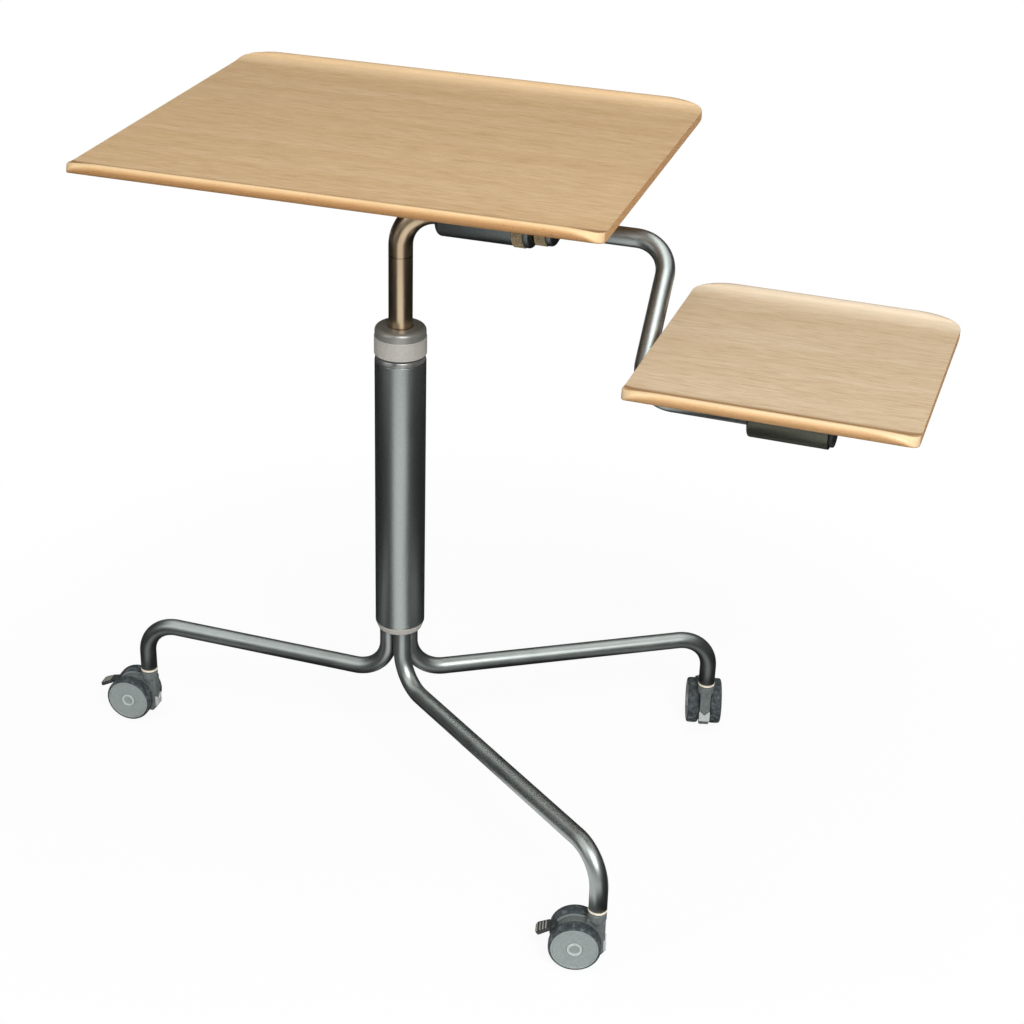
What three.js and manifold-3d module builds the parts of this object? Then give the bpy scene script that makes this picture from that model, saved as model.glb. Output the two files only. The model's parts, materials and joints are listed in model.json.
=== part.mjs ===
// A wheeled typewriter table: a three-legged bent-tube base on twin-wheel casters, a
// telescopic column, a wide wooden tray on a tilting sleeve and a second, small wooden
// tray on a cranked arm. Millimetres, +Z up, +X along the trays to the right, +Y to the
// back. Everything is laid out from the column axis and the whole is shifted at the end,
// so that the middle of its box stands on the floor at the origin.
import * as THREE from 'three';
import { mergeVertices } from 'three/addons/utils/BufferGeometryUtils.js';
import Module from 'manifold-3d';

const wasm = await Module();
wasm.setup();

// Clearance between pieces that fit together
const gap = 0.3;

// Casters
const wheelDiameter = 54;
const wheelWidth = 13.7;
const webWidth = 12;
const casterTrail = 21;
const casterHeight = 62;
const stemDiameter = 8.4;
const axleDiameter = 6;
const pedalLength = 16;
const pedalWidth = 18;

// Legs: a root angle round the column, a run angle over the floor and a reach for each
const legTube = 19;
const legWall = 2;
const legBend = 40;
const legHeight = 129;
const ringHeight = 3.6;
const leftReach = 303.6;
const rightReach = 359.3;
const frontReach = 378;
const leftRun = 179;
const rightRun = 31;
const frontRun = -38.8;

// Column, its bush and the clamping collar
const columnDiameter = 54;
const columnWall = 2;
const columnBottom = 202;
const columnTop = 515;
const footHeight = 8;
const footInset = 3;
const bushHeight = 7;
const collarDiameter = 55;
const collarHeight = 30;

// Upright
const uprightDiameter = 25;
const uprightWall = 1.5;
const uprightBend = 40.5;
const uprightFoot = 320;
const pistonHeight = 30;

// Tilting sleeve and the two clamping nuts on the level part of the upright
const axisHeight = 680.6;
const sleeveDiameter = 46.6;
const sleeveLength = 80;
const tiltNutDiameter = 49.4;
const armNutDiameter = 40;
const nutLength = 11.4;
const capLength = 10;

// Cranked arm
const armTube = 19;
const armWall = 2;
const armBend = 35;
const armReach = 278.1;
const armForward = 111.2;
const armDrop = 115;
const armSpread = 147.7;
const armTurn = -1.46;

// Trays: a board of one thickness whose front and back edges sweep up gently and then curl,
// with the corners cut back on the flat sheet
const boardThickness = 9.3;
const sweepRadius = 65;
const sweepAngle = 17.5;
const curlRadius = 4.9;
const lipLength = 33;
const cornerLength = 49;
const cornerStart = 26;
const cornerRound = 14;
const mainWidth = 518;
const mainFlat = 364;
const mainLift = 63.3;
const smallWidth = 261.2;
const smallFlat = 224.6;
const smallLift = 54.4;
const saddleFlange = 20;
const smallSleeveDiameter = 40;
const smallSleeveLength = 76.5;

const finishes = {
  charcoal: { color: 0x565e5c, roughness: 0.4, metalness: 0.8 },
  nickel: { color: 0x8a7f70, roughness: 0.35, metalness: 0.9 },
  blasted: { color: 0xbebab4, roughness: 0.6, metalness: 0.7 },
  brass: { color: 0x9c8a6e, roughness: 0.45, metalness: 0.8 },
  steel: { color: 0x9a9c9c, roughness: 0.35, metalness: 0.9 },
  wood: { color: 0xcbad86, roughness: 0.5, metalness: 0 },
  ivory: { color: 0xe6dccb, roughness: 0.5, metalness: 0 },
  grey: { color: 0x879191, roughness: 0.5, metalness: 0 },
  dark: { color: 0x3c4244, roughness: 0.7, metalness: 0 },
};

const table = new THREE.Group();
table.name = 'typewriter_table';

function place(name, geometry, finish) {
  const mesh = new THREE.Mesh(geometry, new THREE.MeshStandardMaterial(finishes[finish]));
  mesh.name = name;
  table.add(mesh);
}

// A closed solid from a geometry, without the needle triangles at the poles of a turned shape
function solidOf(geometry) {
  const bare = geometry.clone();
  bare.deleteAttribute('normal');
  bare.deleteAttribute('uv');
  const welded = mergeVertices(bare, 1e-4);
  const kept = [];
  for (let i = 0; i < welded.index.count; i += 3) {
    const [a, b, c] = [0, 1, 2].map((k) => welded.index.getX(i + k));
    if (a !== b && b !== c && c !== a) kept.push(a, b, c);
  }
  return new wasm.Manifold(new wasm.Mesh({
    numProp: 3,
    vertProperties: new Float32Array(welded.attributes.position.array),
    triVerts: new Uint32Array(kept),
  }));
}

function geometryOf(solid) {
  const mesh = solid.getMesh();
  const geometry = new THREE.BufferGeometry();
  const points = new Float32Array(mesh.vertProperties);
  geometry.setAttribute('position', new THREE.BufferAttribute(points, 3));
  geometry.setIndex(new THREE.BufferAttribute(new Uint32Array(mesh.triVerts), 1));
  geometry.computeVertexNormals();
  return geometry;
}

function cut(geometry, tools) {
  const solid = tools.reduce((left, tool) => left.subtract(solidOf(tool)), solidOf(geometry));
  return geometryOf(solid);
}

function join(geometries) {
  return geometryOf(geometries.map(solidOf).reduce((left, right) => left.add(right)));
}

// Turned shape about +Z from [radius, height] pairs, listed up the outside
function turned(profile, sides) {
  const points = profile.map(([radius, height]) => new THREE.Vector2(radius, height));
  return new THREE.LatheGeometry(points, sides).rotateX(Math.PI / 2);
}

// Turned ring about +Z: the profile is closed back to its first point
function turnedRing(profile, sides) {
  return turned([...profile, profile[0]], sides);
}

// Corner radius of a bore whose flats clear a round piece of this radius
function bore(radius, sides) {
  return (radius + gap) / Math.cos(Math.PI / sides);
}

function rod(radius, bottom, top, sides) {
  return turned([[0, bottom], [radius, bottom], [radius, top], [0, top]], sides);
}

// Stations along straight lines that meet in round bends
class BentLine extends THREE.Curve {
  constructor(corners, radius, steps) {
    super();
    this.stations = [];
    const last = corners.length - 1;
    const way = (i) => corners[i + 1].clone().sub(corners[i]).normalize();
    this.stations.push({ point: corners[0], tangent: way(0) });
    for (let i = 1; i < last; i += 1) {
      const before = way(i - 1);
      const angle = before.angleTo(way(i));
      const side = way(i).addScaledVector(before, -Math.cos(angle)).normalize();
      const start = corners[i].clone().addScaledVector(before, -radius * Math.tan(angle / 2));
      for (let k = 0; k <= steps; k += 1) {
        const turn = (angle * k) / steps;
        const point = start.clone()
          .addScaledVector(before, radius * Math.sin(turn))
          .addScaledVector(side, radius * (1 - Math.cos(turn)));
        const tangent = before.clone().multiplyScalar(Math.cos(turn))
          .addScaledVector(side, Math.sin(turn));
        this.stations.push({ point, tangent });
      }
    }
    this.stations.push({ point: corners[last], tangent: way(last - 1) });
  }

  at(u) {
    return this.stations[Math.round(u * (this.stations.length - 1))];
  }

  getPointAt(u) {
    return this.at(u).point.clone();
  }

  getTangentAt(u) {
    return this.at(u).tangent.clone();
  }
}

function ring(radius, sides) {
  const points = [];
  for (let i = 0; i < sides; i += 1) {
    const angle = (2 * Math.PI * i) / sides;
    points.push(new THREE.Vector2(radius * Math.cos(angle), radius * Math.sin(angle)));
  }
  return points;
}

function bentTube(corners, radius, wall, bend, sides, steps) {
  const path = new BentLine(corners, bend, steps);
  const section = new THREE.Shape(ring(radius, sides));
  section.holes.push(new THREE.Path(ring(radius - wall, sides)));
  return new THREE.ExtrudeGeometry(section, {
    steps: path.stations.length - 1,
    bevelEnabled: false,
    extrudePath: path,
  });
}

function extruded(points, depth) {
  const shape = new THREE.Shape(points.map(([x, y]) => new THREE.Vector2(x, y)));
  return new THREE.ExtrudeGeometry(shape, { depth, bevelEnabled: false });
}

// Lays a shape turned about +Z along +X
function alongX(geometry, height) {
  return geometry.rotateY(Math.PI / 2).translate(0, 0, height);
}

// Base: column, foot and legs
const columnRadius = columnDiameter / 2;
const columnBore = columnRadius - columnWall;
const legRadius = legTube / 2;
const footRadius = columnRadius - footInset;
const footTop = columnBottom + 30;
const legCluster = footRadius - legRadius - 1;
const ringBottom = casterHeight + gap;
const legEnd = ringBottom + ringHeight + gap;

place('column_tube', turnedRing([
  [columnBore, columnBottom],
  [columnRadius, columnBottom],
  [columnRadius, columnTop],
  [columnBore, columnTop],
], 32), 'charcoal');

const legs = {
  left: { root: 180, run: leftRun, reach: leftReach },
  right: { root: 60, run: rightRun, reach: rightReach },
  front: { root: -60, run: frontRun, reach: frontReach },
};

const legSockets = [];
for (const [side, leg] of Object.entries(legs)) {
  const root = THREE.MathUtils.degToRad(leg.root);
  const run = THREE.MathUtils.degToRad(leg.run);
  const x = legCluster * Math.cos(root);
  const y = legCluster * Math.sin(root);
  leg.x = x + leg.reach * Math.cos(run);
  leg.y = y + leg.reach * Math.sin(run);
  legSockets.push(rod(bore(legRadius, 24), 0, 2 * footTop, 24).translate(x, y, 0));
  place(`leg_${side}`, bentTube([
    new THREE.Vector3(x, y, footTop - 2),
    new THREE.Vector3(x, y, legHeight),
    new THREE.Vector3(leg.x, leg.y, legHeight),
    new THREE.Vector3(leg.x, leg.y, legEnd),
  ], legRadius, legWall, legBend, 14, 6), 'charcoal');

  const spigot = (legRadius - legWall) * Math.cos(Math.PI / 14) - gap;
  const hole = bore(stemDiameter / 2, 16);
  place(`leg_ring_${side}`, turnedRing([
    [hole, ringBottom],
    [legRadius + gap, ringBottom],
    [legRadius + gap, ringBottom + ringHeight],
    [spigot, ringBottom + ringHeight],
    [spigot, ringBottom + ringHeight + 14],
    [hole, ringBottom + ringHeight + 14],
  ], 16).translate(leg.x, leg.y, 0), 'ivory');
}

const footBottom = columnBottom - gap - footHeight;
place('column_foot', cut(turned([
  [0, footBottom],
  [footRadius, footBottom],
  [columnRadius, footBottom + footHeight],
  [columnBore - gap, footBottom + footHeight],
  [columnBore - gap, footTop],
  [0, footTop],
], 32), legSockets), 'charcoal');

// Upper bush, split collet and clamping collar round the upright
const uprightRadius = uprightDiameter / 2;
const uprightHole = bore(uprightRadius, 20);
const bushBottom = columnTop + gap;
const bushTop = bushBottom + bushHeight;
const collarBottom = bushTop + 0.5;
const collarTop = collarBottom + collarHeight;
const collarRadius = collarDiameter / 2;
const colletRadius = uprightHole + 6.5;
const colletTop = collarTop - 8;

place('column_bush', turnedRing([
  [uprightHole, columnTop - 40],
  [columnBore - gap, columnTop - 40],
  [columnBore - gap, bushBottom],
  [columnRadius, bushBottom],
  [columnRadius - 2, bushTop],
  [uprightHole, bushTop],
], 32), 'steel');

const colletSlot = new THREE.BoxGeometry(2 * colletRadius, 1.6, collarHeight)
  .translate(colletRadius, 0, colletTop - collarHeight / 2 + 1);
place('clamp_collet', cut(turnedRing([
  [uprightHole, bushTop + gap],
  [colletRadius, bushTop + gap],
  [colletRadius - 1.5, colletTop],
  [uprightHole, colletTop],
], 20), [colletSlot]), 'brass');

const collarCavity = bore(colletRadius, 32);
place('clamp_collar', turnedRing([
  [collarCavity, collarBottom],
  [collarRadius, collarBottom],
  [collarRadius, collarTop - 7.5],
  [collarRadius - 1, collarTop - 4],
  [collarRadius - 3.5, collarTop - 1.2],
  [collarRadius - 7.5, collarTop],
  [uprightHole, collarTop],
  [uprightHole, colletTop + 1],
  [collarCavity, colletTop + 1],
], 32), 'blasted');

// Upright with its guide piston inside the column
const sleeveStart = uprightBend + 1.5;
const sleeveEnd = sleeveStart + sleeveLength;
const tiltCapStart = sleeveEnd + gap + nutLength + gap;
const armNutStart = tiltCapStart + capLength + gap;
const armCapStart = armNutStart + nutLength + gap;
const uprightEnd = armCapStart - gap;
const plugRadius = (uprightRadius - uprightWall) * Math.cos(Math.PI / 20) - gap;
const pistonBottom = uprightFoot;
const pistonTop = pistonBottom + pistonHeight;

place('guide_piston', turnedRing([
  [uprightHole, pistonBottom],
  [columnBore - gap, pistonBottom],
  [columnBore - gap, pistonTop],
  [uprightHole, pistonTop],
], 32), 'dark');

place('upright_tube', bentTube([
  new THREE.Vector3(0, 0, uprightFoot),
  new THREE.Vector3(0, 0, axisHeight),
  new THREE.Vector3(uprightEnd, 0, axisHeight),
], uprightRadius, uprightWall, uprightBend, 20, 8), 'nickel');

place('upright_plug', turned([
  [0, uprightFoot - gap - 4],
  [uprightRadius + 5, uprightFoot - gap - 4],
  [uprightRadius + 5, uprightFoot - gap],
  [plugRadius, uprightFoot - gap],
  [plugRadius, uprightFoot + 20],
  [0, uprightFoot + 20],
], 20), 'dark');

place('upright_stop', turnedRing([
  [uprightHole, pistonTop + gap],
  [uprightRadius + 5, pistonTop + gap],
  [uprightRadius + 5, pistonTop + gap + 4],
  [uprightHole, pistonTop + gap + 4],
], 20), 'steel');

// Tilting sleeve and the nuts that clamp it and the arm
const sleeveRadius = sleeveDiameter / 2;
place('tray_sleeve', alongX(turnedRing([
  [uprightHole, sleeveStart],
  [sleeveRadius - 6, sleeveStart],
  [sleeveRadius - 1.8, sleeveStart + 2],
  [sleeveRadius, sleeveStart + 6.5],
  [sleeveRadius, sleeveEnd],
  [uprightHole, sleeveEnd],
], 28), axisHeight), 'charcoal');

function knurledNut(name, radius, hole, start) {
  place(name, alongX(turnedRing([
    [hole, start],
    [radius - 0.6, start],
    [radius, start + 0.8],
    [radius, start + nutLength - 0.8],
    [radius - 0.6, start + nutLength],
    [hole, start + nutLength],
  ], 28), axisHeight), 'brass');
}

function domedCap(name, radius, hole, start) {
  place(name, alongX(turnedRing([
    [hole, start],
    [radius, start],
    [radius, start + 0.3 * capLength],
    [radius - 0.08 * radius, start + 0.65 * capLength],
    [radius - 0.22 * radius, start + 0.9 * capLength],
    [radius - 0.4 * radius, start + capLength],
    [hole, start + capLength],
  ], 28), axisHeight), 'charcoal');
}

const armRadius = armTube / 2;
const armHole = bore(armRadius, 20);
knurledNut('tilt_nut', tiltNutDiameter / 2, uprightHole, sleeveEnd + gap);
domedCap('tilt_cap', tiltNutDiameter / 2 - 0.8, uprightHole, tiltCapStart);
knurledNut('arm_nut', armNutDiameter / 2, uprightHole, armNutStart);
domedCap('arm_cap', armNutDiameter / 2 - 0.8, armHole, armCapStart);

// Arm: slides and turns in a bush inside the upright, then cranks forward and down
const bushStart = uprightBend + 36;
const bushLength = 30;
place('arm_bush', alongX(turnedRing([
  [armHole, bushStart],
  [plugRadius, bushStart],
  [plugRadius, bushStart + bushLength],
  [armHole, bushStart + bushLength],
], 20), axisHeight), 'dark');

const smallAxis = new THREE.Vector3(armReach, -armForward, axisHeight - armDrop);
const smallFrame = new THREE.Matrix4()
  .makeRotationZ(THREE.MathUtils.degToRad(armTurn))
  .setPosition(smallAxis);
const smallSleeveStart = armSpread - smallSleeveLength / 2;
const smallSleeveEnd = smallSleeveStart + smallSleeveLength;
place('arm_tube', bentTube([
  new THREE.Vector3(bushStart, 0, axisHeight),
  new THREE.Vector3(armReach, 0, axisHeight),
  smallAxis,
  new THREE.Vector3(smallSleeveEnd - 3, 0, 0).applyMatrix4(smallFrame),
], armRadius, armWall, armBend, 20, 6), 'charcoal');

const smallSleeveRadius = smallSleeveDiameter / 2;
place('small_sleeve', alongX(turnedRing([
  [armHole, smallSleeveStart],
  [smallSleeveRadius - 2, smallSleeveStart],
  [smallSleeveRadius, smallSleeveStart + 2],
  [smallSleeveRadius, smallSleeveEnd],
  [armHole, smallSleeveEnd],
], 28), 0).applyMatrix4(smallFrame), 'charcoal');

place('small_sleeve_cap', alongX(turned([
  [0, smallSleeveEnd + gap],
  [smallSleeveRadius - 2.5, smallSleeveEnd + gap],
  [smallSleeveRadius - 2.5, smallSleeveEnd + 3],
  [smallSleeveRadius - 4, smallSleeveEnd + 4.5],
  [0, smallSleeveEnd + 4.5],
], 28), 0).applyMatrix4(smallFrame), 'dark');

// Length of the bent edge, measured on the sheet, at a distance from the tray's side
function lipAt(distance) {
  const far = Math.max(0, 1 - distance / cornerLength);
  const near = Math.max(0, 1 - distance / cornerRound);
  const rounding = cornerRound * (1 - Math.sqrt(1 - near * near));
  return lipLength - (lipLength - cornerStart) * far ** 2.5 - rounding;
}

// Place of a point of the bent edge, a way along the sheet's middle and a depth below its top
const sweepTurn = THREE.MathUtils.degToRad(sweepAngle);
const sweepLength = (sweepRadius + boardThickness / 2) * sweepTurn;
function bentEdge(along, depth) {
  const swept = Math.min(along, sweepLength) / (sweepRadius + boardThickness / 2);
  const curled = Math.max(0, along - sweepLength) / (curlRadius + boardThickness / 2);
  const turn = swept + curled;
  const inner = curled > 0 ? sweepRadius - curlRadius : 0;
  const radius = sweepRadius - inner + depth;
  return {
    out: inner * Math.sin(sweepTurn) + radius * Math.sin(turn),
    up: sweepRadius - inner * Math.cos(sweepTurn) - radius * Math.cos(turn),
  };
}

// Tray board: a grid of cells, bent up along both edges beyond the flat part.
// Its flat top lies at height 0 and its middle at the origin.
function tray(width, flat) {
  const half = width / 2;
  const fromSide = [0, 0.02, 0.07, 0.16, 0.29, 0.5, 0.72, 1].map((part) => part * cornerLength);
  const across = [...fromSide.map((d) => d - half), ...fromSide.reverse().map((d) => half - d)];
  const stations = [0, 0.22, 0.43, 0.64, 0.73, 0.82, 0.91, 1];
  const steps = stations.length - 1;
  const rows = 2 * steps + 1;
  const board = new THREE.BoxGeometry(1, 1, 1, across.length - 1, rows, 1);
  const spots = board.attributes.position;
  for (let i = 0; i < spots.count; i += 1) {
    const x = across[Math.round((spots.getX(i) + 0.5) * (across.length - 1))];
    const row = Math.round((spots.getY(i) + 0.5) * rows);
    const side = row > steps ? 1 : -1;
    const station = stations[side > 0 ? row - steps - 1 : steps - row];
    const depth = spots.getZ(i) > 0 ? 0 : boardThickness;
    const edge = bentEdge(station * lipAt(half - Math.abs(x)), depth);
    spots.setXYZ(i, x, side * (flat / 2 + edge.out), edge.up);
  }
  return board;
}

// Saddle bracket under a tray: a hat section with its foot hollowed to lie on the sleeve.
// Its middle is on the sleeve axis.
const plateThickness = 5;
function saddle(length, halfPlate, radius, lift) {
  const top = lift - gap;
  const under = top - plateThickness;
  const foot = [50, 63, 76, 90, 104, 117, 130].map((degrees) => {
    const angle = THREE.MathUtils.degToRad(degrees);
    const reach = (radius + gap) / Math.cos(THREE.MathUtils.degToRad(7));
    return [reach * Math.cos(angle), reach * Math.sin(angle)];
  });
  const outline = [
    ...foot.reverse(),
    [radius, radius + 6],
    [radius, under],
    [halfPlate, under],
    [halfPlate, top],
    [-halfPlate, top],
    [-halfPlate, under],
    [-radius, under],
    [-radius, radius + 6],
  ];
  return extruded(outline, length)
    .translate(0, 0, -length / 2)
    .rotateX(Math.PI / 2)
    .rotateZ(Math.PI / 2);
}

// A tray with its bracket and screws, in the frame of its sleeve: the sleeve axis runs
// along x, and the tray's middle and the bracket's middle are given along it
function trayOnSaddle(frame, piece, size) {
  const top = size.lift + boardThickness;
  const plateUnder = size.lift - gap - plateThickness;
  const screws = [];
  for (const sx of [-1, 1]) {
    for (const sy of [-1, 1]) {
      screws.push([size.saddleX + sx * (size.length / 2 - 9), sy * (size.plate - 7)]);
    }
  }
  const pilot = screws.map(([x, y]) => rod(2.8, 0, size.lift + 6, 12).translate(x, y, 0));
  place(piece.tray, cut(tray(size.width, size.flat).translate(size.trayX, 0, top), pilot)
    .applyMatrix4(frame), 'wood');
  place(piece.saddle, cut(saddle(size.length, size.plate, size.radius, size.lift)
    .translate(size.saddleX, 0, 0), pilot).applyMatrix4(frame), 'charcoal');
  screws.forEach(([x, y], i) => {
    place(`${piece.screw}_${i + 1}`, turned([
      [0, plateUnder - gap - 2.6],
      [3.4, plateUnder - gap - 2.6],
      [4.8, plateUnder - gap - 1.4],
      [4.8, plateUnder - gap],
      [2.3, plateUnder - gap],
      [2.3, size.lift + 5],
      [0, size.lift + 5.6],
    ], 12).translate(x, y, 0).applyMatrix4(frame), 'steel');
  });
}

trayOnSaddle(
  new THREE.Matrix4().setPosition(0, 0, axisHeight),
  { tray: 'main_tray', saddle: 'tray_saddle', screw: 'tray_screw' },
  {
    width: mainWidth,
    flat: mainFlat,
    lift: mainLift,
    trayX: 0,
    saddleX: (sleeveStart + sleeveEnd) / 2,
    length: sleeveLength - 8,
    plate: sleeveRadius + saddleFlange,
    radius: sleeveRadius,
  },
);

trayOnSaddle(
  smallFrame,
  { tray: 'small_tray', saddle: 'small_saddle', screw: 'small_screw' },
  {
    width: smallWidth,
    flat: smallFlat,
    lift: smallLift,
    trayX: armSpread,
    saddleX: armSpread,
    length: smallSleeveLength - 12,
    plate: smallSleeveRadius + saddleFlange,
    radius: smallSleeveRadius,
  },
);

// Caster: x along the trail, y along the axle, the swivel axis at the origin
const wheelRadius = wheelDiameter / 2;
const halfWeb = webWidth / 2;
const wheelStart = halfWeb + 0.6;
const wheelEnd = wheelStart + wheelWidth;
const webRadius = wheelRadius - 4;
const hubRadius = wheelRadius - 2.4;
const axleHalf = wheelEnd - 4;
const pivot = [casterTrail + 0.82 * wheelRadius, wheelRadius + 0.5 * wheelRadius];
const pedalSlope = THREE.MathUtils.degToRad(25);

// Lays a shape turned about +Z along the axle
function alongAxle(geometry, side) {
  return geometry.rotateX(side * -Math.PI / 2).translate(casterTrail, 0, wheelRadius);
}

function casterWeb() {
  const bossRadius = legRadius;
  const outline = [[-bossRadius + 0.5, casterHeight - 9], [-bossRadius + 0.5, 15], [-4, 9]];
  for (let degrees = -125; degrees <= 117; degrees += 22) {
    const angle = THREE.MathUtils.degToRad(degrees);
    const x = casterTrail + webRadius * Math.cos(angle);
    outline.push([x, wheelRadius + webRadius * Math.sin(angle)]);
  }
  outline.push([bossRadius - 0.5, casterHeight - 9]);
  const web = extruded(outline, webWidth).rotateX(Math.PI / 2).translate(0, halfWeb, 0);
  const boss = turned([
    [0, casterHeight - 18],
    [halfWeb, casterHeight - 18],
    [halfWeb, casterHeight - 16],
    [bossRadius, casterHeight - 8],
    [bossRadius, casterHeight - 1],
    [bossRadius - 1, casterHeight],
    [0, casterHeight],
  ], 20);
  const stemHole = rod(bore(stemDiameter / 2, 16), casterHeight - 30, casterHeight + 5, 16);
  const axleHole = alongAxle(rod(bore(axleDiameter / 2, 16), -webWidth, webWidth, 16), 1);
  const pivotHole = rod(bore(3.5, 16), -webWidth, webWidth, 16).rotateX(Math.PI / 2)
    .translate(pivot[0], 0, pivot[1]);
  return cut(join([web, boss]), [stemHole, axleHole, pivotHole]);
}

// Brake pedal: a barrel on its pivot, a neck and a ribbed paddle sloping down outwards
function brakePedal() {
  const barrel = rod(3.5, -halfWeb + gap, halfWeb - gap, 16).rotateX(Math.PI / 2);
  const neck = new THREE.BoxGeometry(6, webWidth - 2, 3).translate(3, 0, 1.5);
  const half = pedalWidth / 2;
  const paddle = extruded([
    [4, -half + 1],
    [pedalLength, -half],
    [pedalLength + 3, -half + 4],
    [pedalLength + 3, half - 4],
    [pedalLength, half],
    [4, half - 1],
  ], 3.4);
  const pieces = [barrel, neck, paddle];
  for (let i = 0; i < 4; i += 1) {
    const x = 7 + (i * (pedalLength - 6)) / 3;
    pieces.push(new THREE.BoxGeometry(1.3, pedalWidth - 6, 2).translate(x, 0, 3.2));
  }
  return join(pieces).rotateY(pedalSlope).translate(pivot[0], 0, pivot[1]);
}

const trails = { left: 182, right: 105, front: 193 };
for (const [side, leg] of Object.entries(legs)) {
  const frame = new THREE.Matrix4()
    .makeRotationZ(THREE.MathUtils.degToRad(trails[side]))
    .setPosition(leg.x, leg.y, 0);
  const name = `caster_${side}`;
  place(`${name}_housing`, casterWeb().applyMatrix4(frame), 'grey');
  place(`${name}_stem`, turned([
    [0, casterHeight - 29.5],
    [stemDiameter / 2, casterHeight - 29.5],
    [stemDiameter / 2, legEnd + 19],
    [stemDiameter / 2 - 1, legEnd + 20.5],
    [0, legEnd + 20.5],
  ], 16).applyMatrix4(frame), 'steel');
  place(`${name}_axle`, alongAxle(rod(axleDiameter / 2, -axleHalf, axleHalf, 16), 1)
    .applyMatrix4(frame), 'steel');
  place(`${name}_pedal`, brakePedal().applyMatrix4(frame), 'dark');
  for (const [hand, sign] of [['a', 1], ['b', -1]]) {
    place(`${name}_hub_${hand}`, alongAxle(turned([
      [bore(axleDiameter / 2, 20), wheelStart + 0.3],
      [hubRadius, wheelStart + 0.3],
      [hubRadius, wheelEnd - 0.8],
      [hubRadius - 1.2, wheelEnd],
      [0.3 * hubRadius, wheelEnd + 0.3],
      [0.27 * hubRadius, wheelEnd - 0.5],
      [0, wheelEnd - 0.5],
      [0, axleHalf + 0.4],
      [bore(axleDiameter / 2, 20), axleHalf + 0.4],
      [bore(axleDiameter / 2, 20), wheelStart + 0.3],
    ], 24), sign).applyMatrix4(frame), 'grey');
    place(`${name}_tyre_${hand}`, alongAxle(turnedRing([
      [hubRadius / Math.cos(Math.PI / 24) + gap, wheelStart],
      [wheelRadius - 1.2, wheelStart],
      [wheelRadius, wheelStart + 1.6],
      [wheelRadius, wheelEnd - 2.6],
      [wheelRadius - 1, wheelEnd - 0.9],
      [hubRadius / Math.cos(Math.PI / 24) + gap, wheelEnd - 0.5],
    ], 24), sign).applyMatrix4(frame), 'dark');
  }
}

// Stand the middle of the whole box on the floor at the origin
const box = new THREE.Box3().setFromObject(table);
const centre = box.getCenter(new THREE.Vector3());
table.position.set(-centre.x, -centre.y, -box.min.z);
table.updateMatrixWorld(true);

export default table;
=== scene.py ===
# %% [markdown]
# # A typewriter table on casters
# The solids of this table were drawn first and are loaded here as a fixed frame. They are
# faceted, so the pieces that show get smooth surfaces, worked out with numpy and laid exactly
# where the solids are. The pieces that stay hidden keep their solids.

import json

import bmesh
import bpy
import numpy as np
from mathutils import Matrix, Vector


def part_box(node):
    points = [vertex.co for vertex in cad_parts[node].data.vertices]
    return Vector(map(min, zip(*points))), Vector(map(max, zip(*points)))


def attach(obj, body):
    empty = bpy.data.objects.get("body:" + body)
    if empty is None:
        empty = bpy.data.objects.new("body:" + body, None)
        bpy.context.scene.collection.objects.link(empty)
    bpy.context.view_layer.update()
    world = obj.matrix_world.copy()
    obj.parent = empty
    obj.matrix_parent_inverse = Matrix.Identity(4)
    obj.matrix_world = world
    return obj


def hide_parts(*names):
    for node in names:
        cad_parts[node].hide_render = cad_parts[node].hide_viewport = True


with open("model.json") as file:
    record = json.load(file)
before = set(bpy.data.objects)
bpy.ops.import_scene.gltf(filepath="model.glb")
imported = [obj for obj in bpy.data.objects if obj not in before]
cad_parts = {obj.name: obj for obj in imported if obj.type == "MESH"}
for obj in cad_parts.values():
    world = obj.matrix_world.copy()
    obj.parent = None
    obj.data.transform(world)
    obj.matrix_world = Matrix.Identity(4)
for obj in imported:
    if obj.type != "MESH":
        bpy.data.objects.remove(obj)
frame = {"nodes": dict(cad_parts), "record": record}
scene = bpy.context.scene
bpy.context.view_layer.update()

# %% [markdown]
# The whole table is laid out from the axis of its column, in millimetres. The column's solid
# tells where that axis is in the frame, so one shift turns a place on the drawing into a
# place in the scene.

# %% The column's axis
low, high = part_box("column_tube")
column = np.array([(low[0] + high[0]) / 2, (low[1] + high[1]) / 2, 0.0])


def in_scene(points):
    """Drawing millimetres to scene metres: a thousandth of the point plus the column's place."""
    return np.asarray(points, float) * 0.001 + column


print("column axis at", np.round(column, 4))

# %% [markdown]
# Every surface is a grid of points: two parameters run along its rows and columns. A grid
# can wrap round in either direction, as a ring or a tube does. Rows that shrink to one point,
# such as the middle of a disc, are merged so that the pole is closed.


# %% From a grid of points to a mesh
def grid_faces(rows, columns, wrap_rows=False, wrap_columns=False):
    """Quads between neighbouring rows and columns; a wrapped direction joins last to first."""
    index = np.arange(rows * columns).reshape(rows, columns)
    if wrap_rows:
        index = np.vstack([index, index[:1]])
    if wrap_columns:
        index = np.hstack([index, index[:, :1]])
    corners = [index[:-1, :-1], index[1:, :-1], index[1:, 1:], index[:-1, 1:]]
    return np.stack(corners, axis=-1).reshape(-1, 4).tolist()


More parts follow.
